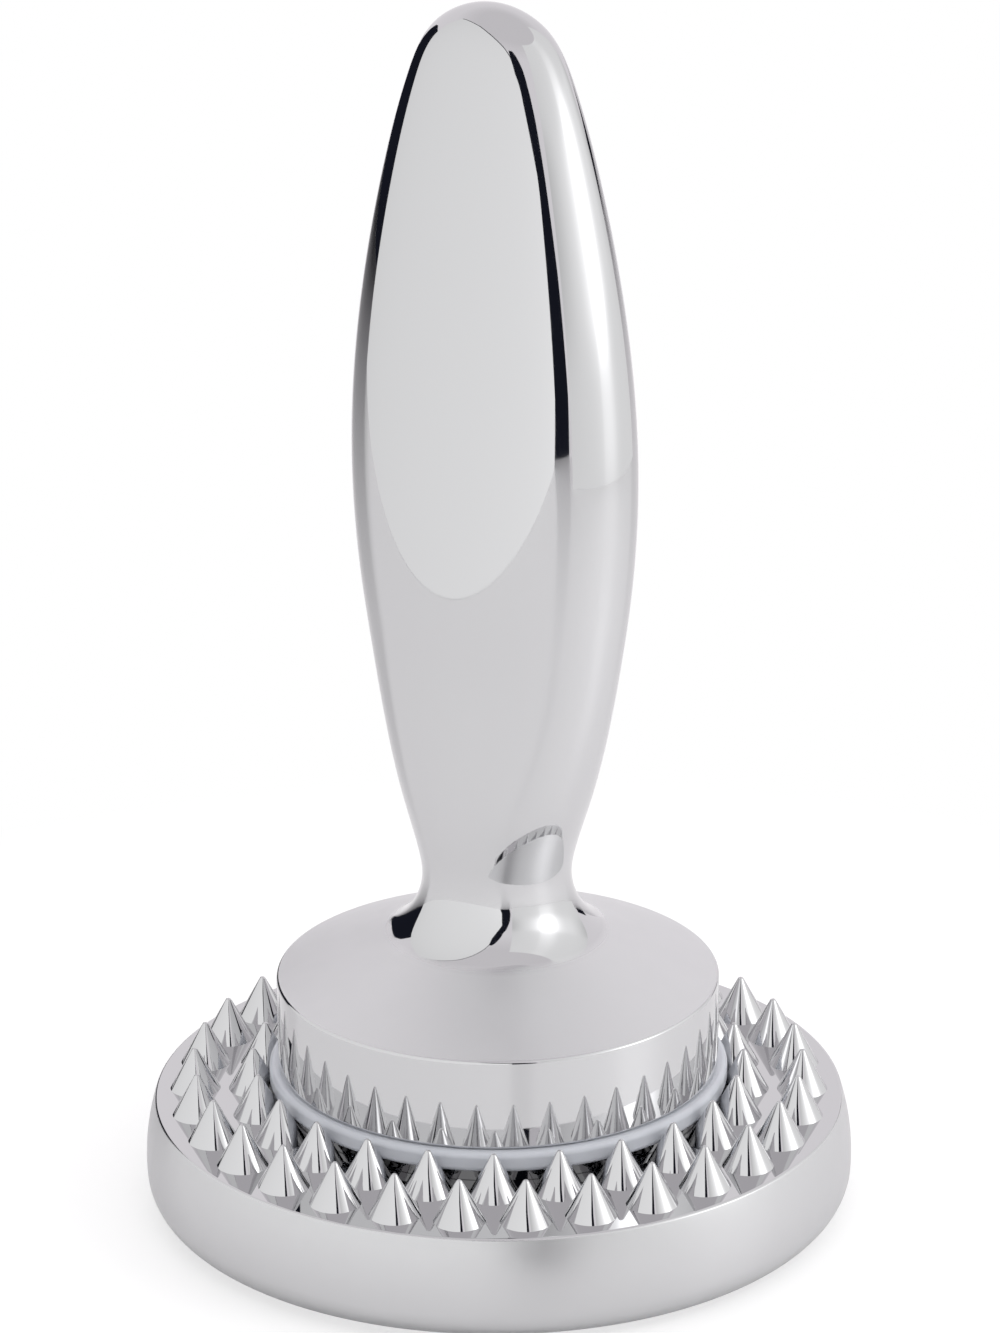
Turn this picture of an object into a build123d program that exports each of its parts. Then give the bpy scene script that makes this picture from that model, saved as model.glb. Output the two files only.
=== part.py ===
from build123d import *
import math
import os

# Meat tenderizer: an oval-gripped pounder that seats by a silicone gasket in a ring of spikes.
# Millimetres. +Z is up, the origin is the middle of the underside, and -Y is the front.

# Drum
drum_radius = 29.6
drum_wall_height = 12.4
drum_edge_rounding = 0.5
crown_slope = 23.2
shoulder_width = 3.2
spigot_edge_break = 0.6
strike_face_lift = 0.2
web_thickness = 8.0

# Strike plate, which closes the drum from below
plate_rim = 3.9
plate_ledge = 3.5
plate_thickness = 5.0
plate_edge_break = 0.3

# Gasket
lip_overhang = 1.2
lip_thickness = 2.7
lip_rounding = 0.8
sleeve_thickness = 1.5
sleeve_setback = 5.0
sleeve_relief = 0.5
sleeve_rib_height = 1.6
sleeve_rib_count = 3
keeper_depth = 1.0
keeper_height = 2.4

# Spikes, pressed into blind holes in the ring's floor
spike_radius = 3.4
spike_height = 5.8
spike_tip_radius = 0.45
spike_shank_length = 5.0
spike_gap = 1.7
row_gap = 1.1

# Spike ring
ring_height = 14.6
ring_bulge = 1.3
ring_bulge_height = 8.2
rim_margin = 1.9
rim_rounding = 0.5
heel_flare = 0.7
heel_rounding = 4.6
bore_edge_break = 0.4
collar_width = 0.9
collar_height = 1.9

# Handle
neck_radius = 9.95
foot_fillet_radius = 9.4
grip_length = 118.15
grip_half_width = 20.8
grip_half_depth = 13.5
grip_turn = -35.0
tenon_step = 1.3
tenon_length = 4.0
core_radius = 6.0
core_length_share = 0.645

# Tie stud, nut and split washer inside the drum
stud_radius = 4.0
stud_engagement = 16.0
stud_overhang = 2.0
stud_end_break = 0.8
nut_wall = 2.5
nut_thickness = 6.5
nut_edge_break = 0.7
washer_margin = 0.9
washer_thickness = 1.6
washer_gap = 1.5

# Clearances
running_clearance = 0.06
seat_clearance = 0.04
lip_clearance = 0.15
keeper_clearance = 0.3
hole_clearance = 0.3
overrun = 1.0

# Grip outline up to its widest: share of the swell from neck to half width, share of the length
grip_swell_shares = (
    (0.06, 0.0313),
    (0.281, 0.0906),
    (0.708, 0.2344),
    (1.0, 0.4777),
)
# Grip outline on to the tip: share of the half width, share of the length
grip_taper_shares = (
    (0.926, 0.652),
    (0.755, 0.8054),
    (0.566, 0.918),
    (0.40, 0.9713),
)
outline_pull_shares = (1.0, 1.0)
oval_from_share = 0.30
oval_ease_share = 0.75
outline_step_count = 40
tip_crowding = 1.6

# Radii of the drum, its plate, the gasket and the bore, from the middle outwards
spigot_radius = drum_radius - shoulder_width
plate_radius = spigot_radius - plate_rim
cavity_radius = plate_radius - plate_ledge
sleeve_inner_radius = spigot_radius + running_clearance
sleeve_outer_radius = sleeve_inner_radius + sleeve_thickness
bore_radius = sleeve_outer_radius + running_clearance
collar_radius = bore_radius + collar_width
lip_radius = drum_radius + lip_overhang

# Heights of the gasket, the drum and the handle, from the underside up
lip_base = ring_height + collar_height + seat_clearance
sleeve_length = lip_base - sleeve_setback
keeper_base = sleeve_setback + (sleeve_length - keeper_height) / 2
shoulder_height = lip_base + lip_thickness + seat_clearance
drum_edge_height = shoulder_height + drum_wall_height
foot_angle = 90 - crown_slope
foot_radius = neck_radius + foot_fillet_radius * (1 - math.cos(math.radians(foot_angle)))
foot_height = drum_edge_height + (drum_radius - foot_radius) * math.tan(math.radians(crown_slope))
neck_height = foot_height + foot_fillet_radius * math.sin(math.radians(foot_angle))
tip_height = neck_height + grip_length
plate_top = strike_face_lift + plate_thickness

# The tenon and the stud's fastening, from the crown down
tenon_radius = neck_radius - tenon_step
tenon_base = foot_height - tenon_length
ceiling_height = foot_height - web_thickness
washer_base = ceiling_height - washer_thickness
nut_base = washer_base - nut_thickness
stud_base = nut_base - stud_overhang
stud_top = tenon_base + stud_engagement
core_length = grip_length * core_length_share
nut_across_flats = 2 * (stud_radius + nut_wall)
washer_radius = nut_across_flats / 2 + washer_margin

# Spike flank: a cone tangent to the ball at its tip
ball_height = spike_height - spike_tip_radius
flank_reach = math.hypot(spike_radius, ball_height)
flank_angle = math.acos(spike_tip_radius / flank_reach) - math.atan2(ball_height, spike_radius)

# Spike rows: the inner row's flanks stand just clear of the lip, and the outer row and rim follow
lip_round_height = collar_height + seat_clearance + lip_rounding
flank_at_lip = spike_radius - lip_round_height * math.tan(flank_angle)
lip_room = (lip_rounding + lip_clearance) / math.cos(flank_angle)
spike_pitch = 2 * spike_radius + spike_gap
inner_row_radius = lip_radius - lip_rounding + lip_room + flank_at_lip
outer_row_radius = inner_row_radius + 2 * spike_radius + row_gap
inner_row_count = int(2 * math.pi * inner_row_radius / spike_pitch)
outer_row_count = int(2 * math.pi * outer_row_radius / spike_pitch)
rim_radius = outer_row_radius + spike_radius + rim_margin
ring_radius = rim_radius + ring_bulge
heel_radius = rim_radius + heel_flare


def turned(profile):
    """A body turned about the part's axis from a half section drawn in radius and height."""
    return revolve(Plane.XZ * profile, Axis.Z)


def tube(inner, outer, base, top):
    height = top - base
    middle = Pos(0, 0, (base + top) / 2)
    return middle * (Cylinder(outer, height) - Cylinder(inner, height + overrun))


def corner(profile, radius, height):
    """The corner of a half section nearest to a radius and height."""
    return profile.vertices().sort_by_distance((radius, height))[0]


def rounded(profile, radius, height, rounding):
    return fillet(corner(profile, radius, height), rounding)


def broken(profile, radius, height, edge_break):
    return chamfer(corner(profile, radius, height), edge_break)


def around(row_radius, count, first_angle):
    """Places round the part's axis, counted from the front."""
    step = 360 / count
    return [Rot(0, 0, first_angle + step * k) * Pos(0, -row_radius, ring_height) for k in range(count)]


def spike_places():
    outer = around(outer_row_radius, outer_row_count, 180 / outer_row_count)
    inner = around(inner_row_radius, inner_row_count, 0)
    return outer, inner


def make_spike():
    """A pointed stud: a cone with a ball tip, on a shank of the cone's own radius."""
    tangent_radius = spike_tip_radius * math.cos(flank_angle)
    tangent_height = ball_height + spike_tip_radius * math.sin(flank_angle)
    middle_angle = (flank_angle + math.pi / 2) / 2
    ball_middle = (
        spike_tip_radius * math.cos(middle_angle),
        ball_height + spike_tip_radius * math.sin(middle_angle),
    )
    flank = Polyline(
        (0, spike_height),
        (0, -spike_shank_length),
        (spike_radius, -spike_shank_length),
        (spike_radius, 0),
        (tangent_radius, tangent_height),
    )
    ball = ThreePointArc((tangent_radius, tangent_height), ball_middle, (0, spike_height))
    return turned(make_face(flank + ball))


def make_spike_ring(places):
    """Solid ring: bulged wall, flat floor for the spikes, a collar under the gasket and a plain bore."""
    wall = ThreePointArc((rim_radius, ring_height), (ring_radius, ring_bulge_height), (heel_radius, 0))
    inside = Polyline(
        (heel_radius, 0),
        (bore_radius, 0),
        (bore_radius, ring_height + collar_height),
        (collar_radius, ring_height + collar_height),
        (collar_radius, ring_height),
        (rim_radius, ring_height),
    )
    profile = make_face(wall + inside)
    profile = rounded(profile, heel_radius, 0, heel_rounding)
    profile = rounded(profile, rim_radius, ring_height, rim_rounding)
    profile = broken(profile, bore_radius, 0, bore_edge_break)
    drill_length = spike_shank_length + overrun
    drill = Pos(0, 0, overrun - drill_length / 2) * Cylinder(spike_radius, drill_length)
    return turned(profile) - [place * drill for place in places]


def make_gasket():
    """Silicone seal: a lip under the drum, a ribbed sleeve in the bore and a keeper in the spigot."""
    inner = sleeve_inner_radius
    groove_floor = sleeve_outer_radius - sleeve_relief
    lip = make_face(
        Polyline(
            (inner, lip_base),
            (lip_radius, lip_base),
            (lip_radius, lip_base + lip_thickness),
            (inner, lip_base + lip_thickness),
            close=True,
        )
    )
    lip = rounded(lip, lip_radius, lip_base, lip_rounding)
    lip = rounded(lip, lip_radius, lip_base + lip_thickness, lip_rounding)
    gasket = turned(lip) + tube(inner, groove_floor, sleeve_setback, lip_base + lip_rounding)
    rib_pitch = (sleeve_length - sleeve_rib_height) / sleeve_rib_count
    for k in range(sleeve_rib_count):
        rib_base = sleeve_setback + rib_pitch * k
        gasket += tube(inner, sleeve_outer_radius, rib_base, rib_base + sleeve_rib_height)
    keeper_inner = inner - keeper_depth
    return gasket + tube(keeper_inner, groove_floor, keeper_base, keeper_base + keeper_height)


def make_drum():
    """Pounder head: coned crown, plain wall, stepped-in spigot and a cavity open below."""
    keeper_room = keeper_depth + keeper_clearance
    profile = make_face(
        Polyline(
            (tenon_radius, foot_height),
            (foot_radius, foot_height),
            (drum_radius, drum_edge_height),
            (drum_radius, shoulder_height),
            (spigot_radius, shoulder_height),
            (spigot_radius, strike_face_lift),
            (plate_radius, strike_face_lift),
            (plate_radius, plate_top),
            (cavity_radius, plate_top),
            (cavity_radius, ceiling_height),
            (stud_radius + hole_clearance, ceiling_height),
            (stud_radius + hole_clearance, tenon_base),
            (tenon_radius, tenon_base),
            close=True,
        )
    )
    profile = rounded(profile, drum_radius, drum_edge_height, drum_edge_rounding)
    profile = rounded(profile, drum_radius, shoulder_height, drum_edge_rounding)
    profile = broken(profile, spigot_radius, strike_face_lift, spigot_edge_break)
    groove = tube(
        spigot_radius - keeper_room,
        spigot_radius + overrun,
        keeper_base - keeper_clearance,
        keeper_base + keeper_height + keeper_clearance,
    )
    return turned(profile) - groove


def make_strike_plate():
    """Smooth round pounding face."""
    profile = make_face(
        Polyline(
            (0, strike_face_lift),
            (plate_radius, strike_face_lift),
            (plate_radius, plate_top),
            (0, plate_top),
            close=True,
        )
    )
    return turned(broken(profile, plate_radius, strike_face_lift, plate_edge_break))


def oval(height, half_width, half_depth):
    return Pos(0, 0, height) * Rot(0, 0, grip_turn) * Ellipse(half_width, half_depth)


def grip_depth_share(length_share):
    """Depth over width: round at the neck, easing into the grip's oval."""
    rise = max(0, min(length_share / oval_from_share, 1)) ** oval_ease_share
    eased = rise * rise * (3 - 2 * rise)
    return 1 + (grip_half_depth / grip_half_width - 1) * eased


def grip_outline():
    """Half widths and heights up the grip, on a spline from the neck to the tip."""
    points = [(neck_radius, neck_height)]
    swell = grip_half_width - neck_radius
    for swell_share, length_share in grip_swell_shares:
        points.append((neck_radius + swell * swell_share, neck_height + grip_length * length_share))
    for width_share, length_share in grip_taper_shares:
        points.append((grip_half_width * width_share, neck_height + grip_length * length_share))
    points.append((0, tip_height))
    side = Spline(*points, tangents=[(0, 1), (-1, 0)], tangent_scalars=outline_pull_shares)
    steps = [1 - (1 - step / outline_step_count) ** tip_crowding for step in range(outline_step_count)]
    return [((side @ step).X, (side @ step).Y) for step in steps]


def make_foot():
    """Turned foot: a tenon below the crown and a fillet from the crown up to the neck."""
    turn = math.radians(foot_angle)
    centre_radius = neck_radius + foot_fillet_radius
    middle = (
        centre_radius - foot_fillet_radius * math.cos(turn / 2),
        neck_height - foot_fillet_radius * math.sin(turn / 2),
    )
    flare = ThreePointArc((foot_radius, foot_height), middle, (neck_radius, neck_height))
    inside = Polyline(
        (neck_radius, neck_height),
        (0, neck_height),
        (0, tenon_base),
        (tenon_radius, tenon_base),
        (tenon_radius, foot_height),
        (foot_radius, foot_height),
    )
    return turned(make_face(flare + inside))


def make_handle():
    """Oval grip on a round neck that flares into the crown, with a tenon, a tapped hole and a core."""
    sections = []
    for half_width, height in grip_outline():
        depth_share = grip_depth_share((height - neck_height) / grip_length)
        sections.append(oval(height, half_width, half_width * depth_share))
    grip = loft(sections + [Vertex(0, 0, tip_height)])
    tapped_length = stud_engagement + overrun
    tapped = Pos(0, 0, stud_top - tapped_length / 2) * Cylinder(stud_radius, tapped_length)
    core = Pos(0, 0, stud_top + core_length / 2) * Cylinder(core_radius, core_length)
    return grip + make_foot() - (tapped + core)


def make_tie_stud():
    length = stud_top - stud_base
    stud = Pos(0, 0, (stud_top + stud_base) / 2) * Cylinder(stud_radius, length)
    return chamfer(stud.edges().filter_by(GeomType.CIRCLE), stud_end_break)


def make_clamp_nut():
    """Hexagon nut with both faces turned down at the corners."""
    hexagon = RegularPolygon(nut_across_flats / 2, 6, major_radius=False)
    blank = extrude(Pos(0, 0, nut_base) * hexagon, nut_thickness)
    corner_radius = nut_across_flats / math.sqrt(3)
    limit = Pos(0, 0, nut_base + nut_thickness / 2) * Cylinder(corner_radius, nut_thickness)
    limit = chamfer(limit.edges().filter_by(GeomType.CIRCLE), nut_edge_break)
    bore = tube(0, stud_radius, nut_base - overrun, nut_base + nut_thickness + overrun)
    return (blank & limit) - bore


def make_lock_washer():
    """Split spring washer, flattened under the nut."""
    washer = tube(stud_radius + hole_clearance, washer_radius, washer_base, ceiling_height)
    slit = Box(washer_radius + overrun, washer_gap, washer_thickness + overrun)
    return washer - Pos((washer_radius + overrun) / 2, 0, washer_base + washer_thickness / 2) * slit


os.makedirs("parts", exist_ok=True)
outer_places, inner_places = spike_places()
spike = make_spike()
nodes = {
    "spike_ring": make_spike_ring(outer_places + inner_places),
    "outer_spikes": Compound([place * spike for place in outer_places]),
    "inner_spikes": Compound([place * spike for place in inner_places]),
    "gasket": make_gasket(),
    "drum": make_drum(),
    "strike_plate": make_strike_plate(),
    "handle": make_handle(),
    "tie_stud": make_tie_stud(),
    "clamp_nut": make_clamp_nut(),
    "lock_washer": make_lock_washer(),
}
for name, shape in nodes.items():
    export_step(shape, f"parts/{name}.step")
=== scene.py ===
import math

import bpy
import numpy as np
from mathutils import Matrix, Vector


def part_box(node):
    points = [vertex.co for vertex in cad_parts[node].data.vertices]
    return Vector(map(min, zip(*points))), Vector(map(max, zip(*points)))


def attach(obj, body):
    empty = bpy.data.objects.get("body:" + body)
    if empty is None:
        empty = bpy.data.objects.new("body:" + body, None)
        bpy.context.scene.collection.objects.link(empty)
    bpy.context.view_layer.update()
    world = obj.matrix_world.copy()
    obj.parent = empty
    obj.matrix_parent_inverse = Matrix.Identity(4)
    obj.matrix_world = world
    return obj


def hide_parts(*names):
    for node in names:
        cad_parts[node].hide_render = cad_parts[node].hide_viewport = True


# Looks of the meat tenderizer: mirror chrome, a translucent gasket and a small studio of cards.
# Metres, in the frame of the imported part: +Z up, -Y to the front, origin under the middle.

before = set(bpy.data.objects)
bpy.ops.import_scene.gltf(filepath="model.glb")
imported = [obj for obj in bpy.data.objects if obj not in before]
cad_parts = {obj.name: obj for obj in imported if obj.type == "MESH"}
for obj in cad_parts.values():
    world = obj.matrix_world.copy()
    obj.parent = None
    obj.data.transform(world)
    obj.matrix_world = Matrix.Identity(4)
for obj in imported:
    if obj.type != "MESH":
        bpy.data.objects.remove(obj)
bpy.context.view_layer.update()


def low_end(node):
    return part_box(node)[0].z


def high_end(node):
    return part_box(node)[1].z


def reach(node):
    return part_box(node)[1].x


# Camera, at the photograph's viewing angle
view_aim = Vector((0.00060, 0.0, 0.07525))
view_distance = 0.7644
view_elevation = math.radians(20.57)
view_azimuth = math.radians(1.17)
view_roll = math.radians(-0.41)
lens_mm = 157.37
sensor_mm = 36.0
near_clip = 0.01

# Mesh fineness
around_count = 256
spike_around_count = 64
fillet_steps = 10
long_arc_steps = 40
grip_row_count = 240
tip_crowding = 1.6
same_point = 1e-7

# Handle
tip_height = high_end("handle")
tenon_base = low_end("handle")
tenon_step = 0.0013
neck_radius = 0.00995
foot_fillet_radius = 0.0094
grip_half_width = 0.0208
grip_half_depth = 0.0135
grip_turn = math.radians(-35.0)
oval_from_share = 0.30
oval_ease_share = 0.75
grip_swell_shares = ((0.06, 0.0313), (0.281, 0.0906), (0.708, 0.2344), (1.0, 0.4777))
grip_taper_shares = ((0.926, 0.652), (0.755, 0.8054), (0.566, 0.918), (0.40, 0.9713))

# Drum
drum_radius = reach("drum")
foot_height = high_end("drum")
strike_face_lift = low_end("drum")
crown_slope = math.radians(23.2)
edge_rounding = 0.0005
shoulder_width = 0.0032
spigot_edge_break = 0.0006
plate_radius = reach("strike_plate")
plate_top = high_end("strike_plate")
plate_ledge = 0.0035
web_base = high_end("lock_washer")
stud_clearance = 0.0003
seat_clearance = 0.00004
running_clearance = 0.00006

# Gasket
lip_radius = reach("gasket")
lip_top = high_end("gasket")
lip_thickness = 0.0027
lip_rounding = 0.0008
sleeve_base = low_end("gasket")
sleeve_thickness = 0.0015
sleeve_relief = 0.0005
sleeve_rib_height = 0.0016
sleeve_rib_count = 3
keeper_depth = 0.0010
keeper_height = 0.0024
keeper_clearance = 0.0003

# Spike ring and spikes
collar_top = high_end("spike_ring")
collar_height = 0.0019
collar_width = 0.0009
ring_bulge = 0.0013
ring_bulge_height = 0.0082
rim_margin = 0.0019
rim_rounding = 0.0005
heel_flare = 0.0007
heel_rounding = 0.0046
bore_edge_break = 0.0004
spike_radius = 0.0034
spike_tip_radius = 0.00045
outer_spike_count = 30
inner_spike_count = 24
outer_first_step = 0.5
inner_first_step = 0

# Sizes that follow from these and from the frame
tenon_radius = neck_radius - tenon_step
foot_angle = math.pi / 2 - crown_slope
foot_radius = neck_radius + foot_fillet_radius * (1 - math.cos(foot_angle))
neck_height = foot_height + foot_fillet_radius * math.sin(foot_angle)
grip_length = tip_height - neck_height
crown_edge_height = foot_height - (drum_radius - foot_radius) * math.tan(crown_slope)
lip_base = lip_top - lip_thickness
shoulder_height = lip_top + seat_clearance
spigot_radius = drum_radius - shoulder_width
cavity_radius = plate_radius - plate_ledge
stud_hole_radius = reach("tie_stud") + stud_clearance
keeper_base = sleeve_base + (lip_base - sleeve_base - keeper_height) / 2
keeper_top = keeper_base + keeper_height
sleeve_inner_radius = spigot_radius + running_clearance
sleeve_outer_radius = sleeve_inner_radius + sleeve_thickness
bore_radius = sleeve_outer_radius + running_clearance
collar_radius = bore_radius + collar_width
ring_height = collar_top - collar_height
spike_height = high_end("outer_spikes") - ring_height
outer_row_radius = reach("outer_spikes") - spike_radius
inner_row_radius = -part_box("inner_spikes")[0].y - spike_radius
rim_radius = outer_row_radius + spike_radius + rim_margin
ring_radius = rim_radius + ring_bulge
heel_radius = rim_radius + heel_flare

# Studio table: white to the camera but for the part's shadow, in reflections a pale table with painted
# light and shade far behind it
table_half_width = 3.0
table_drop = 0.0001
table_touch = 0.0008
table_near = 0.08
table_far = 0.70
table_grey = 0.86
table_roughness = 0.25
table_ior = 1.5
shadow_grey = 0.55
shadow_glow = 0.50
shadow_reach = (0.09, 0.15)
# Painted light and shade on the table far behind the part, as greys at shares of the half turn from its
# left to its right
table_back_painted_light_and_shade = (
    (0.0, 0.86), (0.14, 0.84), (0.21, 0.12), (0.37, 0.12), (0.43, 0.98),
    (0.57, 0.98), (0.63, 0.50), (0.77, 0.50), (0.84, 0.86), (1.0, 0.86),
)

# Lamp over the table at the right
table_lamp_place = Vector((0.16, -0.09, 0.20))
table_lamp_aim = Vector((0.09, -0.05, 0.0))
table_lamp_half = 0.04
table_lamp_glow = 4.0

# Pale tent around it all, dimmer overhead
tent_glow = 0.89
tent_light = 1.12
tent_colour = (1.0, 0.97, 1.0, 1)
ceiling_glow = 0.76
ceiling_rise = (0.60, 0.86)
white = (1, 1, 1, 1)

# White card at the left, its corners by their places along it and their heights
left_card_reach = 0.187
left_card_facing = Vector((-0.848, -0.531, 0))
left_card_outline = (
    (-0.455, 0.0),
    (-0.455, 0.625),
    (-0.10, 0.505),
    (0.142, 0.387),
    (0.197, 0.350),
    (0.232, 0.286),
    (0.300, 0.248),
    (0.404, 0.208),
    (0.450, 0.150),
    (0.440, 0.090),
    (0.375, 0.0),
)
left_card_glow = 0.89
left_card_gain = 0.26
left_card_top_share = 0.3
card_edge_gap = 0.020
card_edge_setback = 0.004

# Soft light bent around the right between two turns from the front, in degrees, with shares of its glow
right_card_reach = 0.36
right_card_height = 0.70
right_card_turns = (22, 132)
right_card_steps = 24
right_card_glow = 2.8
right_card_low_glow = 0.94
right_card_along_shares = (
    (0, 0.25), (0.14, 0.34), (0.25, 0.42), (0.35, 0.59), (0.41, 0.92), (0.48, 1.0),
    (0.56, 0.82), (0.64, 0.52), (0.72, 0.42), (0.85, 0.37), (1.0, 0.25),
)
right_card_up_shares = (
    (0, 0.10), (0.04, 0.17), (0.09, 0.22), (0.13, 0.40), (0.20, 0.90), (0.25, 1.0),
    (0.31, 0.80), (0.39, 0.24), (0.57, 0.10), (1.0, 0.05),
)

# Dark gaps: one flat in front, and two further off by their turns in degrees and their heights
front_gap_place = -0.45
front_gap_outline = (
    (-0.02, 0.0),
    (0.155, 0.0),
    (0.165, 0.055),
    (0.155, 0.150),
    (0.132, 0.215),
    (0.108, 0.275),
    (0.074, 0.320),
    (0.050, 0.390),
    (-0.015, 0.530),
    (-0.060, 0.600),
    (-0.110, 0.600),
)
left_gap_reach = 0.75
left_gap_tops = (
    (-126, 0.42), (-138, 0.40), (-145, 0.34), (-150, 0.24), (-155, 0.15), (-160, 0.08), (-164, 0.05),
)
right_gap_reach = 1.20
right_gap_tops = ((136, 0.08), (148, 0.08))
dark_studio = (0.010, 0.011, 0.018, 1)

# Finishes
chrome_colour = (0.66, 0.66, 0.67, 1)
crown_colour = (0.77, 0.77, 0.78, 1)
wall_colour = (0.67, 0.67, 0.68, 1)
# Painted shade in the recess under the gasket's lip: the ring's chrome darkened to this share at the
# collar's radius, fading out over the run
painted_recess_shade = 0.28
painted_recess_run = (0.0001, 0.0002)
mirror_roughness = (0.02, 0.05)
crown_roughness = (0.42, 0.48)
wall_roughness = (0.31, 0.36)
wall_satin_run = 0.0003
crown_satin_run = (0.00005, 0.00018)
foot_satin_run = 0.0009
noise_range = (0.3, 0.7)
noise_detail = 2.0
haze_scale = 160.0
grain_scale = 240.0
bump_strength = 0.1
polish_depth = 0.000004
silicone_colours = ((0.80, 0.83, 0.90, 1), (0.86, 0.88, 0.93, 1))
silicone_roughness = (0.14, 0.26)
silicone_ior = 1.41
silicone_clearness = 0.30
silicone_depth = 0.00002
cloud_scale = 420.0
steel_colour = (0.62, 0.62, 0.63, 1)
steel_roughness = (0.22, 0.40)
steel_detail = 4.0
plate_ring_scale = 500.0
plate_roughness = (0.05, 0.12)


# Profiles: runs of radius and height with their outward normals, the solid on the left of the path
def straight(*points):
    """Straight runs from point to point."""
    runs = []
    for (r0, z0), (r1, z1) in zip(points, points[1:]):
        length = math.hypot(r1 - r0, z1 - z0)
        facing = ((z1 - z0) / length, -(r1 - r0) / length)
        runs.append(([(r0, z0), (r1, z1)], [facing, facing]))
    return runs


def arc(centre, radius, start, end, steps):
    """A round run from one angle to another, hollow where the angle falls."""
    side = 1 if end > start else -1
    points, facings = [], []
    for angle in np.linspace(start, end, steps + 1):
        along, up = math.cos(angle), math.sin(angle)
        points.append((centre[0] + radius * along, centre[1] + radius * up))
        facings.append((side * along, side * up))
    return [(points, facings)]


def circle_through(a, b, c):
    """Centre and radius of the circle through three points."""
    (ax, ay), (bx, by), (cx, cy) = a, b, c
    double = 2 * (ax * (by - cy) + bx * (cy - ay) + cx * (ay - by))
    squares = [x * x + y * y for x, y in (a, b, c)]
    x = (squares[0] * (by - cy) + squares[1] * (cy - ay) + squares[2] * (ay - by)) / double
    y = (squares[0] * (cx - bx) + squares[1] * (ax - cx) + squares[2] * (bx - ax)) / double
    return (x, y), math.hypot(ax - x, ay - y)


def join_runs(runs):
    """Rings along a profile, and the spans between them with the normal at both ends."""
    rings, spans = [], []
    for points, facings in runs:
        first = len(rings) - 1
        if first < 0 or math.dist(rings[first], points[0]) > same_point:
            rings.append(points[0])
            first = len(rings) - 1
        for step in range(1, len(points)):
            rings.append(points[step])
            spans.append((first + step - 1, first + step, facings[step - 1], facings[step]))
    if math.dist(rings[0], rings[-1]) < same_point:
        rings.pop()
        last = len(rings)
        spans = [(a % last, b % last, facing_a, facing_b) for a, b, facing_a, facing_b in spans]
    return rings, spans


# Meshes
def skin(loops, spans):
    """Vertices, faces and corner normals of a surface through closed loops; a single point is a pole."""
    starts, vertices = [], []
    for loop in loops:
        starts.append(len(vertices))
        vertices.extend(loop)
    faces, normals = [], []
    for a, b, normals_a, normals_b in spans:
        count = max(len(loops[a]), len(loops[b]))
        for k in range(count):
            after = (k + 1) % count
            corners = []
            if len(loops[a]) > 1:
                corners += [(a, k, normals_a), (a, after, normals_a)]
            else:
                corners += [(a, 0, normals_a)]
            if len(loops[b]) > 1:
                corners += [(b, after, normals_b), (b, k, normals_b)]
            else:
                corners += [(b, 0, normals_b)]
            faces.append([starts[ring] + place for ring, place, _ in corners])
            normals.extend(table[place] for _, place, table in corners)
    return vertices, faces, normals


def around(count, first_step=0):
    """Angles of equal steps around the part's axis."""
    return [2 * math.pi * (k + first_step) / count for k in range(count)]


def turned(runs, count):
    """The surface of a profile turned about the part's axis."""
    rings, spans = join_runs(runs)
    angles = around(count)

    def swing(radius, height):
        if radius < same_point:
            return [(0.0, 0.0, height)]
        return [(radius * math.cos(angle), radius * math.sin(angle), height) for angle in angles]

    def spread(facing):
        return [(facing[0] * math.cos(angle), facing[0] * math.sin(angle), facing[1]) for angle in angles]

    loops = [swing(radius, height) for radius, height in rings]
    return skin(loops, [(a, b, spread(facing_a), spread(facing_b)) for a, b, facing_a, facing_b in spans])


def repeated(surface, places):
    """Copies of a surface, moved to each place."""
    vertices, faces, normals = surface
    all_vertices, all_faces = [], []
    for place in places:
        start = len(all_vertices)
        all_vertices.extend((x + place[0], y + place[1], z + place[2]) for x, y, z in vertices)
        all_faces.extend([start + corner for corner in face] for face in faces)
    return all_vertices, all_faces, normals * len(places)


def add_object(name, data):
    obj = bpy.data.objects.new(name, data)
    bpy.context.scene.collection.objects.link(obj)
    return obj


def add_piece(name, surface, material, body, node):
    """A piece that stands for a CAD node and moves with its body."""
    vertices, faces, normals = surface
    mesh = bpy.data.meshes.new(name)
    mesh.from_pydata(vertices, [], faces)
    mesh.shade_smooth()
    mesh.normals_split_custom_set(normals)
    mesh.materials.append(material)
    obj = add_object(name, mesh)
    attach(obj, body)
    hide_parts(node)


# Handle
def clamped_spline(points, start, end):
    """A smooth curve through points, by chord length, that leaves and arrives along given directions."""
    points = np.array(points)
    steps = np.linalg.norm(np.diff(points, axis=0), axis=1)
    places = np.concatenate([[0], np.cumsum(steps)])
    count = len(points)
    system, right = np.zeros((count, count)), np.zeros((count, 2))
    system[0, 0] = system[-1, -1] = 1
    right[0], right[-1] = start, end
    for k in range(1, count - 1):
        before, after = steps[k - 1], steps[k]
        system[k, k - 1:k + 2] = after, 2 * (before + after), before
        rise, next_rise = points[k] - points[k - 1], points[k + 1] - points[k]
        right[k] = 3 * (after / before * rise + before / after * next_rise)
    slopes = np.linalg.solve(system, right)

    def at(share):
        """Place and direction at a share of the curve's length."""
        along = share * places[-1]
        k = min(int(np.searchsorted(places, along, side="right")) - 1, count - 2)
        s = (along - places[k]) / steps[k]
        a, b = points[k], points[k + 1]
        leave, arrive = steps[k] * slopes[k], steps[k] * slopes[k + 1]
        place = (2 * s**3 - 3 * s**2 + 1) * a + (s**3 - 2 * s**2 + s) * leave
        place = place + (3 * s**2 - 2 * s**3) * b + (s**3 - s**2) * arrive
        way = (6 * s**2 - 6 * s) * (a - b)
        way = way + (3 * s**2 - 4 * s + 1) * leave + (3 * s**2 - 2 * s) * arrive
        return place, way

    return at


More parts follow.
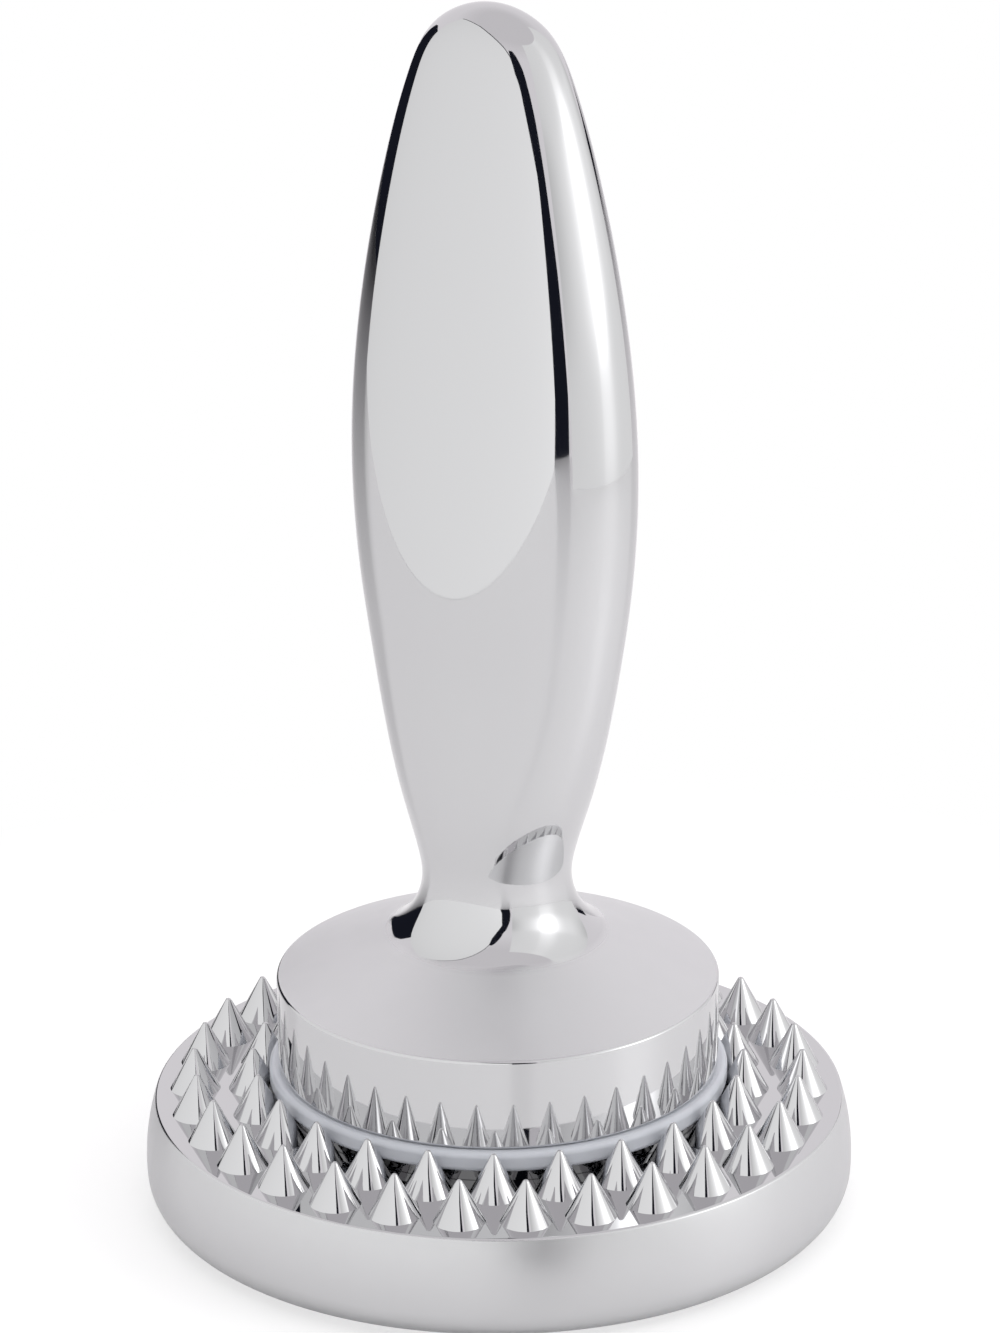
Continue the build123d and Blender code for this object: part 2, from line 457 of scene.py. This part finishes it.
def depth_share(height):
    """Depth over width, and how fast it changes: round at the neck, easing into the grip's oval."""
    length = grip_length * oval_from_share
    place = min(max((height - neck_height) / length, 0), 1)
    rise = place ** oval_ease_share
    climb = oval_ease_share * rise / place / length if place > 0 else 0
    drop = grip_half_depth / grip_half_width - 1
    return 1 + drop * rise * rise * (3 - 2 * rise), drop * 6 * rise * (1 - rise) * climb


def oval_loop(half_width, height):
    """The handle's outline at a height."""
    share = depth_share(height)[0]
    turn = Matrix.Rotation(grip_turn, 3, "Z")
    loop = []
    for angle in around(around_count):
        across = half_width * math.cos(angle)
        deep = half_width * share * math.sin(angle)
        loop.append(tuple(turn @ Vector((across, deep, height))))
    return loop


def oval_normals(half_width, height, way):
    """The outward normals of that outline, where the side runs in a given direction."""
    share, change = depth_share(height)
    turn = Matrix.Rotation(grip_turn, 3, "Z")
    normals = []
    for angle in around(around_count):
        across, deep = math.cos(angle), math.sin(angle)
        round_way = Vector((-deep, share * across, 0))
        deep_way = way[0] * share + half_width * change * way[1]
        up_way = Vector((way[0] * across, deep_way * deep, way[1]))
        normals.append(tuple((turn @ round_way.cross(up_way)).normalized()))
    return normals


def grip_rows_up():
    """Half width, height and direction of each row from the foot's edge to just below the tip."""
    rows = []
    for step in range(long_arc_steps):
        angle = foot_angle * (1 - step / long_arc_steps)
        half_width = neck_radius + foot_fillet_radius * (1 - math.cos(angle))
        height = neck_height - foot_fillet_radius * math.sin(angle)
        rows.append((half_width, height, (-math.sin(angle), math.cos(angle))))
    swell = grip_half_width - neck_radius
    points = [(neck_radius, neck_height)]
    points += [(neck_radius + swell * a, neck_height + grip_length * b) for a, b in grip_swell_shares]
    points += [(grip_half_width * a, neck_height + grip_length * b) for a, b in grip_taper_shares]
    points.append((0.0, tip_height))
    side = clamped_spline(points, (0, 1), (-1, 0))
    for row in range(grip_row_count):
        place, way = side(1 - (1 - row / grip_row_count) ** tip_crowding)
        rows.append((place[0], place[1], way))
    return rows


def handle_surface():
    """Oval grip on a round neck, with the fillet that meets the crown and the tenon below it."""
    below = [(0.0, tenon_base), (tenon_radius, tenon_base), (tenon_radius, foot_height)]
    rows = grip_rows_up()
    loops = [[(0.0, 0.0, tenon_base)]]
    loops += [oval_loop(radius, height) for radius, height in below[1:]]
    loops += [oval_loop(half_width, height) for half_width, height, _ in rows]
    loops.append([(0.0, 0.0, tip_height)])
    down, up = [(0.0, 0.0, -1.0)] * around_count, [(0.0, 0.0, 1.0)] * around_count
    tenon_wall = oval_normals(tenon_radius, tenon_base, (0, 1))
    spans = [(0, 1, down, down), (1, 2, tenon_wall, tenon_wall), (2, 3, down, down)]
    row_normals = [oval_normals(*row) for row in rows] + [up]
    for row in range(len(rows)):
        spans.append((row + len(below), row + len(below) + 1, row_normals[row], row_normals[row + 1]))
    return skin(loops, spans)


# Drum, gasket, ring and spikes
def drum_surface():
    """Coned crown, plain wall, shoulder, grooved spigot and the cavity behind the strike plate."""
    groove_radius = spigot_radius - keeper_depth - keeper_clearance
    groove_base = keeper_base - keeper_clearance
    groove_top = keeper_top + keeper_clearance
    round_radius = drum_radius - edge_rounding
    crown_round = edge_rounding * (1 - math.sin(crown_slope)) / math.cos(crown_slope)
    crown_angle = math.pi / 2 - crown_slope
    below = (round_radius, shoulder_height + edge_rounding)
    above = (round_radius, crown_edge_height - crown_round)
    crown_start = (
        above[0] + edge_rounding * math.cos(crown_angle),
        above[1] + edge_rounding * math.sin(crown_angle),
    )
    runs = straight(
        (plate_radius, strike_face_lift),
        (spigot_radius - spigot_edge_break, strike_face_lift),
        (spigot_radius, strike_face_lift + spigot_edge_break),
        (spigot_radius, groove_base),
        (groove_radius, groove_base),
        (groove_radius, groove_top),
        (spigot_radius, groove_top),
        (spigot_radius, shoulder_height),
        (round_radius, shoulder_height),
    )
    runs += arc(below, edge_rounding, -math.pi / 2, 0, fillet_steps)
    runs += straight((drum_radius, below[1]), (drum_radius, above[1]))
    runs += arc(above, edge_rounding, 0, crown_angle, fillet_steps)
    runs += straight(
        crown_start,
        (foot_radius, foot_height),
        (tenon_radius, foot_height),
        (tenon_radius, tenon_base),
        (stud_hole_radius, tenon_base),
        (stud_hole_radius, web_base),
        (cavity_radius, web_base),
        (cavity_radius, plate_top),
        (plate_radius, plate_top),
        (plate_radius, strike_face_lift),
    )
    return turned(runs, around_count)


def gasket_surface():
    """Rounded lip on a ribbed sleeve, with a keeper rib inside."""
    relief_radius = sleeve_outer_radius - sleeve_relief
    rib_pitch = (lip_base - sleeve_base - sleeve_rib_height) / sleeve_rib_count
    points = [(sleeve_inner_radius, sleeve_base)]
    for k in range(sleeve_rib_count):
        rib_base = sleeve_base + rib_pitch * k
        rib_top = rib_base + sleeve_rib_height
        if k:
            points.append((relief_radius, rib_base))
        points += [(sleeve_outer_radius, rib_base), (sleeve_outer_radius, rib_top)]
        points.append((relief_radius, rib_top))
    round_radius = lip_radius - lip_rounding
    points += [(relief_radius, lip_base), (round_radius, lip_base)]
    runs = straight(*points)
    low, high = lip_base + lip_rounding, lip_top - lip_rounding
    runs += arc((round_radius, low), lip_rounding, -math.pi / 2, 0, fillet_steps)
    runs += straight((lip_radius, low), (lip_radius, high))
    runs += arc((round_radius, high), lip_rounding, 0, math.pi / 2, fillet_steps)
    keeper_radius = sleeve_inner_radius - keeper_depth
    runs += straight(
        (round_radius, lip_top),
        (sleeve_inner_radius, lip_top),
        (sleeve_inner_radius, keeper_top),
        (keeper_radius, keeper_top),
        (keeper_radius, keeper_base),
        (sleeve_inner_radius, keeper_base),
        (sleeve_inner_radius, sleeve_base),
    )
    return turned(runs, around_count)


def ring_surface():
    """Bulged wall between a wide heel and a small rim, the flat floor, the collar and the bore."""
    centre, radius = circle_through(
        (rim_radius, ring_height), (ring_radius, ring_bulge_height), (heel_radius, 0.0)
    )

    def inside_round(height, rounding):
        rise = height - centre[1]
        return centre[0] + math.sqrt((radius - rounding) ** 2 - rise ** 2), height

    heel = inside_round(heel_rounding, heel_rounding)
    rim = inside_round(ring_height - rim_rounding, rim_rounding)
    heel_end = math.atan2(heel[1] - centre[1], heel[0] - centre[0])
    rim_start = math.atan2(rim[1] - centre[1], rim[0] - centre[0])
    runs = straight((bore_radius + bore_edge_break, 0.0), (heel[0], 0.0))
    runs += arc(heel, heel_rounding, -math.pi / 2, heel_end, long_arc_steps)
    runs += arc(centre, radius, heel_end, rim_start, long_arc_steps)
    runs += arc(rim, rim_rounding, rim_start, math.pi / 2, fillet_steps)
    runs += straight(
        (rim[0], ring_height),
        (collar_radius, ring_height),
        (collar_radius, collar_top),
        (bore_radius, collar_top),
        (bore_radius, bore_edge_break),
        (bore_radius + bore_edge_break, 0.0),
    )
    return turned(runs, around_count)


def spike_surface():
    """A cone with a small ball tip, standing on its flat base."""
    ball_height = spike_height - spike_tip_radius
    flank_reach = math.hypot(spike_radius, ball_height)
    flank_angle = math.acos(spike_tip_radius / flank_reach) - math.atan2(ball_height, spike_radius)
    flank_end = (
        spike_tip_radius * math.cos(flank_angle),
        ball_height + spike_tip_radius * math.sin(flank_angle),
    )
    runs = straight((0.0, 0.0), (spike_radius, 0.0), flank_end)
    runs += arc((0.0, ball_height), spike_tip_radius, flank_angle, math.pi / 2, fillet_steps)
    return turned(runs, spike_around_count)


def row_places(row_radius, count, first_step):
    """Places of one row of spikes, counted from the front."""
    return [
        (row_radius * math.sin(angle), -row_radius * math.cos(angle), ring_height)
        for angle in around(count, first_step)
    ]


# Shader nodes
def new_material(name):
    material = bpy.data.materials.new(name)
    material.use_nodes = True
    tree = material.node_tree
    return material, tree, tree.nodes["Principled BSDF"]


def empty_material(name):
    material = bpy.data.materials.new(name)
    material.use_nodes = True
    material.node_tree.nodes.clear()
    return material, material.node_tree


def add_node(tree, kind, **values):
    """A node with values for its inputs and its settings."""
    node = tree.nodes.new(kind)
    for key, value in values.items():
        if key in node.inputs:
            node.inputs[key].default_value = value
        else:
            setattr(node, key, value)
    return node


def add_math(tree, operation, *values):
    """A calculation with sockets or plain numbers."""
    node = add_node(tree, "ShaderNodeMath", operation=operation)
    for place, value in enumerate(values):
        if isinstance(value, bpy.types.NodeSocket):
            tree.links.new(value, node.inputs[place])
        else:
            node.inputs[place].default_value = value
    return node.outputs[0]


def add_range(tree, source, start, end):
    """A value brought from one range into another and held at its ends."""
    node = add_node(tree, "ShaderNodeMapRange")
    for key, value in zip(("From Min", "From Max", "To Min", "To Max"), (*start, *end)):
        node.inputs[key].default_value = value
    tree.links.new(source, node.inputs["Value"])
    return node.outputs["Result"]


def add_curve(tree, source, stops):
    """A smooth curve over the range 0 to 1."""
    node = add_node(tree, "ShaderNodeFloatCurve")
    curve = node.mapping.curves[0]
    for share, value in stops[1:-1]:
        curve.points.new(share, value)
    curve.points[0].location = stops[0]
    curve.points[-1].location = stops[-1]
    node.mapping.update()
    tree.links.new(source, node.inputs["Value"])
    return node.outputs[0]


def add_split(tree, place):
    """The X, Y and Z of a place."""
    node = add_node(tree, "ShaderNodeSeparateXYZ")
    tree.links.new(place, node.inputs[0])
    return node.outputs


def add_radius(tree, place):
    """The distance of a place from the part's axis."""
    level = add_node(tree, "ShaderNodeVectorMath", operation="MULTIPLY")
    tree.links.new(place, level.inputs[0])
    level.inputs[1].default_value = (1, 1, 0)
    length = add_node(tree, "ShaderNodeVectorMath", operation="LENGTH")
    tree.links.new(level.outputs[0], length.inputs[0])
    return length.outputs["Value"]


def add_noise(tree, place, scale, detail=noise_detail):
    node = add_node(tree, "ShaderNodeTexNoise", Scale=scale, Detail=detail)
    tree.links.new(place, node.inputs["Vector"])
    return node.outputs[0]


def add_bump(tree, shader, height, distance):
    node = add_node(tree, "ShaderNodeBump", Strength=bump_strength, Distance=distance)
    tree.links.new(height, node.inputs["Height"])
    tree.links.new(node.outputs[0], shader.inputs["Normal"])


def add_tint(tree, share, colours):
    """A colour between two colours."""
    node = add_node(tree, "ShaderNodeValToRGB")
    for stop, colour in zip(node.color_ramp.elements, colours):
        stop.color = colour
    tree.links.new(share, node.inputs[0])
    return node.outputs[0]


def add_mix(tree, share, first, second):
    """A shader between two shaders."""
    node = add_node(tree, "ShaderNodeMixShader")
    tree.links.new(share, node.inputs[0])
    tree.links.new(first.outputs[0], node.inputs[1])
    tree.links.new(second.outputs[0], node.inputs[2])
    return node


def add_output(tree, shader):
    out = add_node(tree, "ShaderNodeOutputMaterial")
    tree.links.new(shader.outputs[0], out.inputs[0])


def add_glow(tree, strength):
    """A finished material that glows with a strength worked out by other nodes."""
    glow = add_node(tree, "ShaderNodeEmission")
    tree.links.new(strength, glow.inputs["Strength"])
    add_output(tree, glow)


# Materials
def new_metal(name, colour):
    material, tree, shader = new_material(name)
    shader.inputs["Base Color"].default_value = colour
    shader.inputs["Metallic"].default_value = 1.0
    return material, tree, shader


def add_painted_recess_shade(tree, place, colour, radius):
    """A colour painted dark at one radius: painted shade in the recess that light hardly reaches."""
    away = add_math(tree, "ABSOLUTE", add_math(tree, "SUBTRACT", add_radius(tree, place), radius))
    shaded = add_node(tree, "ShaderNodeVectorMath", operation="SCALE")
    tree.links.new(colour, shaded.inputs[0])
    tree.links.new(add_range(tree, away, painted_recess_run, (painted_recess_shade, 1)), shaded.inputs["Scale"])
    return shaded.outputs[0]


def make_chrome(name, heights=None, satin_roughness=None, satin_colour=None, painted_recess_radius=None):
    """Chrome plate: a mirror with faint haze, satin past the second height where heights are given, and
    painted shade at a radius where one is given.
    """
    material, tree, shader = new_metal(name, chrome_colour)
    place = add_node(tree, "ShaderNodeTexCoord").outputs["Object"]
    haze = add_noise(tree, place, haze_scale)
    roughness = add_range(tree, haze, noise_range, mirror_roughness)
    if heights:
        satin = add_range(tree, add_split(tree, place)["Z"], heights, (0, 1))
        grain = add_range(tree, add_noise(tree, place, grain_scale), noise_range, satin_roughness)
        change = add_math(tree, "SUBTRACT", grain, roughness)
        roughness = add_math(tree, "MULTIPLY_ADD", satin, change, roughness)
        colour = add_tint(tree, satin, (chrome_colour, satin_colour))
        if painted_recess_radius:
            colour = add_painted_recess_shade(tree, place, colour, painted_recess_radius)
        tree.links.new(colour, shader.inputs["Base Color"])
    tree.links.new(roughness, shader.inputs["Roughness"])
    add_bump(tree, shader, haze, polish_depth)
    return material


def make_silicone():
    """Clear silicone with a little cloud and a faint blue cast."""
    material, tree, shader = new_material("clear_silicone")
    place = add_node(tree, "ShaderNodeTexCoord").outputs["Object"]
    cloud = add_noise(tree, place, cloud_scale)
    tree.links.new(add_tint(tree, cloud, silicone_colours), shader.inputs["Base Color"])
    tree.links.new(add_range(tree, cloud, noise_range, silicone_roughness), shader.inputs["Roughness"])
    shader.inputs["IOR"].default_value = silicone_ior
    shader.inputs["Transmission Weight"].default_value = silicone_clearness
    add_bump(tree, shader, cloud, silicone_depth)
    return material


def make_steel():
    """Plain steel with the marks of turning."""
    material, tree, shader = new_metal("plain_steel", steel_colour)
    place = add_node(tree, "ShaderNodeNewGeometry").outputs["Position"]
    marks = add_noise(tree, place, grain_scale, steel_detail)
    tree.links.new(add_range(tree, marks, noise_range, steel_roughness), shader.inputs["Roughness"])
    add_bump(tree, shader, marks, polish_depth)
    return material


def make_plate_chrome():
    """Chrome of the strike plate, with faint rings from turning."""
    material, tree, shader = new_metal("turned_chrome", chrome_colour)
    place = add_node(tree, "ShaderNodeNewGeometry").outputs["Position"]
    rings = add_node(tree, "ShaderNodeTexWave", wave_type="RINGS", rings_direction="Z")
    rings.inputs["Scale"].default_value = plate_ring_scale
    tree.links.new(place, rings.inputs["Vector"])
    marks = rings.outputs["Fac"]
    tree.links.new(add_range(tree, marks, (0, 1), plate_roughness), shader.inputs["Roughness"])
    add_bump(tree, shader, marks, polish_depth)
    return material


# Studio
def dark_material():
    material, tree = empty_material("dark_gap")
    add_output(tree, add_node(tree, "ShaderNodeEmission", Color=dark_studio))
    return material


def stage_mesh(name, vertices, faces, material):
    """A part of the studio, seen only in reflections and as light."""
    mesh = bpy.data.meshes.new(name)
    mesh.from_pydata([tuple(v) for v in vertices], [], faces)
    mesh.materials.append(material)
    obj = add_object(name, mesh)
    obj.visible_camera = False
    return obj


def card(name, corners, material):
    return stage_mesh(name, corners, [list(range(len(corners)))], material)


def curved_card(name, distance, tops, material):
    """A card bent around the part, from the table up to a height at each turn."""
    vertices, faces = [], []
    for turn, height in tops:
        angle = math.radians(turn)
        foot = Vector((math.sin(angle), -math.cos(angle), 0)) * distance
        vertices += [foot, foot + Vector((0, 0, height))]
    for k in range(0, len(vertices) - 2, 2):
        faces.append([k, k + 2, k + 3, k + 1])
    stage_mesh(name, vertices, faces, material)


def square(half, height=0):
    """Corners of a level square."""
    return [Vector((x * half, y * half, height)) for x, y in ((-1, -1), (1, -1), (1, 1), (-1, 1))]


def left_card_material():
    """A glow that grows along the card and fades towards its top."""
    material, tree = empty_material("left_card")
    parts = add_split(tree, add_node(tree, "ShaderNodeTexCoord").outputs["Generated"])
    fade = add_range(tree, parts["Z"], (0, 1), (1, left_card_top_share))
    shape = add_math(tree, "MULTIPLY", parts["X"], fade)
    add_glow(tree, add_math(tree, "MULTIPLY_ADD", shape, left_card_gain, left_card_glow))
    return material


def make_left_card(dark):
    """A white card, with a dark one just behind it that shows as a rim at its upper edges."""
    along = Vector((-left_card_facing.y, left_card_facing.x, 0))

    def corners(distance, rise):
        """The outline at a distance, with all but its foot raised."""
        foot = left_card_facing * distance
        places = []
        for place, height in left_card_outline:
            top = height + rise if height else height
            places.append(foot + along * place + Vector((0, 0, top)))
        return places

    card("left_card", corners(left_card_reach, 0), left_card_material())
    card("left_card_rim", corners(left_card_reach + card_edge_setback, card_edge_gap), dark)


def make_right_card():
    """A soft light bent around the right, brightest in its middle and dimmer at its foot."""
    first, last = right_card_turns
    material, tree = empty_material("right_card")
    x, y, z = add_split(tree, add_node(tree, "ShaderNodeTexCoord").outputs["Object"])
    turn = add_math(tree, "ARCTAN2", x, add_math(tree, "MULTIPLY", y, -1))
    along = add_range(tree, turn, (math.radians(first), math.radians(last)), (0, 1))
    bright = add_math(tree, "MULTIPLY", add_curve(tree, along, right_card_along_shares), right_card_glow)
    more = add_math(tree, "SUBTRACT", bright, right_card_low_glow)
    up = add_curve(tree, add_range(tree, z, (0, right_card_height), (0, 1)), right_card_up_shares)
    add_glow(tree, add_math(tree, "MULTIPLY_ADD", more, up, right_card_low_glow))
    turns = [first + (last - first) * k / right_card_steps for k in range(right_card_steps + 1)]
    curved_card("right_card", right_card_reach, [(turn, right_card_height) for turn in turns], material)


def make_gaps(dark):
    card("front_gap", [Vector((x, front_gap_place, z)) for x, z in front_gap_outline], dark)
    curved_card("left_gap", left_gap_reach, left_gap_tops, dark)
    curved_card("right_gap", right_gap_reach, right_gap_tops, dark)


def make_table_lamp():
    """A soft lamp that lights the table at the right; the metal sees only the table it lights."""
    material, tree = empty_material("table_lamp")
    add_output(tree, add_node(tree, "ShaderNodeEmission", Strength=table_lamp_glow))
    turn = (table_lamp_aim - table_lamp_place).to_track_quat("-Z", "Y")
    corners = [table_lamp_place + turn @ corner for corner in square(table_lamp_half)]
    card("table_lamp", corners, material).visible_glossy = False


def reflected_table(tree, place, away):
    """One grey near the part, and far behind it painted light and shade: a grey that changes with the
    turn.
    """
    x, y, _ = add_split(tree, place)
    turn = add_range(tree, add_math(tree, "ARCTAN2", x, y), (-math.pi / 2, math.pi / 2), (0, 1))
    change = add_math(tree, "SUBTRACT", add_curve(tree, turn, table_back_painted_light_and_shade), table_grey)
    far = add_range(tree, away, (table_near, table_far), (0, 1))
    table = add_node(tree, "ShaderNodeBsdfPrincipled", Roughness=table_roughness, IOR=table_ior)
    tree.links.new(add_math(tree, "MULTIPLY_ADD", change, far, table_grey), table.inputs["Base Color"])
    return table


def shadowed_table(tree, away):
    """White with the part's shadow near the part, and plain white past it."""
    shade = add_node(tree, "ShaderNodeBsdfDiffuse", Color=(shadow_grey,) * 3 + (1,))
    glow = add_node(tree, "ShaderNodeEmission", Strength=shadow_glow)
    near = add_node(tree, "ShaderNodeAddShader")
    tree.links.new(shade.outputs[0], near.inputs[0])
    tree.links.new(glow.outputs[0], near.inputs[1])
    plain = add_range(tree, away, shadow_reach, (0, 1))
    return add_mix(tree, plain, near, add_node(tree, "ShaderNodeEmission", Color=white))


def make_table():
    """White to the camera but for the part's shadow, open from below; in reflections a pale table."""
    material, tree = empty_material("floor")
    place = add_node(tree, "ShaderNodeTexCoord").outputs["Object"]
    away = add_radius(tree, place)
    path = add_node(tree, "ShaderNodeLightPath")
    reflected, shadowed = reflected_table(tree, place, away), shadowed_table(tree, away)
    seen = add_mix(tree, path.outputs["Is Camera Ray"], reflected, shadowed)
    touching = add_math(tree, "LESS_THAN", path.outputs["Ray Length"], table_touch)
    below = add_node(tree, "ShaderNodeNewGeometry").outputs["Backfacing"]
    open_share = add_math(tree, "MAXIMUM", touching, below)
    add_output(tree, add_mix(tree, open_share, seen, add_node(tree, "ShaderNodeBsdfTransparent")))
    card("floor", square(table_half_width, -table_drop), material).visible_camera = True


def make_world():
    """White to the camera, a pale tent in reflections and even light on what is matt."""
    world = bpy.data.worlds.new("studio")
    bpy.context.scene.world = world
    world.use_nodes = True
    tree = world.node_tree
    tree.nodes.clear()
    path = add_node(tree, "ShaderNodeLightPath")
    camera_share = path.outputs["Is Camera Ray"]
    up = add_split(tree, add_node(tree, "ShaderNodeTexCoord").outputs["Generated"])["Z"]
    reflected = add_range(tree, up, ceiling_rise, (tent_glow, ceiling_glow))
    matt = add_math(tree, "MULTIPLY", path.outputs["Is Diffuse Ray"], tent_light)
    glow = add_math(tree, "MAXIMUM", add_math(tree, "MAXIMUM", reflected, matt), camera_share)
    tent = add_node(tree, "ShaderNodeBackground")
    tree.links.new(add_tint(tree, camera_share, (tent_colour, white)), tent.inputs["Color"])
    tree.links.new(glow, tent.inputs["Strength"])
    out = add_node(tree, "ShaderNodeOutputWorld")
    tree.links.new(tent.outputs[0], out.inputs[0])


def make_camera():
    data = bpy.data.cameras.new("camera")
    data.sensor_width = sensor_mm
    data.lens = lens_mm
    data.clip_start = near_clip
    obj = add_object("camera", data)
    level = math.cos(view_elevation)
    back = Vector((
        math.sin(view_azimuth) * level,
        -math.cos(view_azimuth) * level,
        math.sin(view_elevation),
    ))
    look = (-back).to_track_quat("-Z", "Y").to_matrix().to_4x4()
    roll = Matrix.Rotation(view_roll, 4, "Z")
    obj.matrix_world = Matrix.Translation(view_aim + back * view_distance) @ look @ roll
    bpy.context.scene.camera = obj


def finish_node(name, material):
    """A CAD node that stays as it is and takes a better finish."""
    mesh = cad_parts[name].data
    mesh.materials.clear()
    mesh.materials.append(material)


# Finishes with the heights at which polish turns to satin
chrome = make_chrome("polished_chrome")
foot_run = (foot_height + foot_satin_run, foot_height)
crown_run = [crown_edge_height + run for run in crown_satin_run]
wall_run = (ring_height, ring_height - wall_satin_run)
grip_chrome = make_chrome("grip_chrome", foot_run, crown_roughness, crown_colour)
drum_chrome = make_chrome("drum_chrome", crown_run, crown_roughness, crown_colour)
# The ring's chrome also takes painted shade at the collar's radius
ring_chrome = make_chrome("ring_chrome", wall_run, wall_roughness, wall_colour, collar_radius)
silicone = make_silicone()
steel = make_steel()

# Pieces in place of CAD nodes, and the CAD nodes that stay
add_piece("grip", handle_surface(), grip_chrome, "pounder", "handle")
add_piece("pounder_drum", drum_surface(), drum_chrome, "pounder", "drum")
add_piece("seal_ring", gasket_surface(), silicone, "seal", "gasket")
add_piece("spiked_ring", ring_surface(), ring_chrome, "ring", "spike_ring")
spike = spike_surface()
outer_places = row_places(outer_row_radius, outer_spike_count, outer_first_step)
inner_places = row_places(inner_row_radius, inner_spike_count, inner_first_step)
add_piece("outer_row", repeated(spike, outer_places), chrome, "ring", "outer_spikes")
add_piece("inner_row", repeated(spike, inner_places), chrome, "ring", "inner_spikes")
finish_node("strike_plate", make_plate_chrome())
for name in ("tie_stud", "clamp_nut", "lock_washer"):
    finish_node(name, steel)

# Stage and camera
dark = dark_material()
make_table()
make_left_card(dark)
make_right_card()
make_gaps(dark)
make_table_lamp()
make_world()
make_camera()

bpy.context.scene.view_settings.view_transform = "Standard"
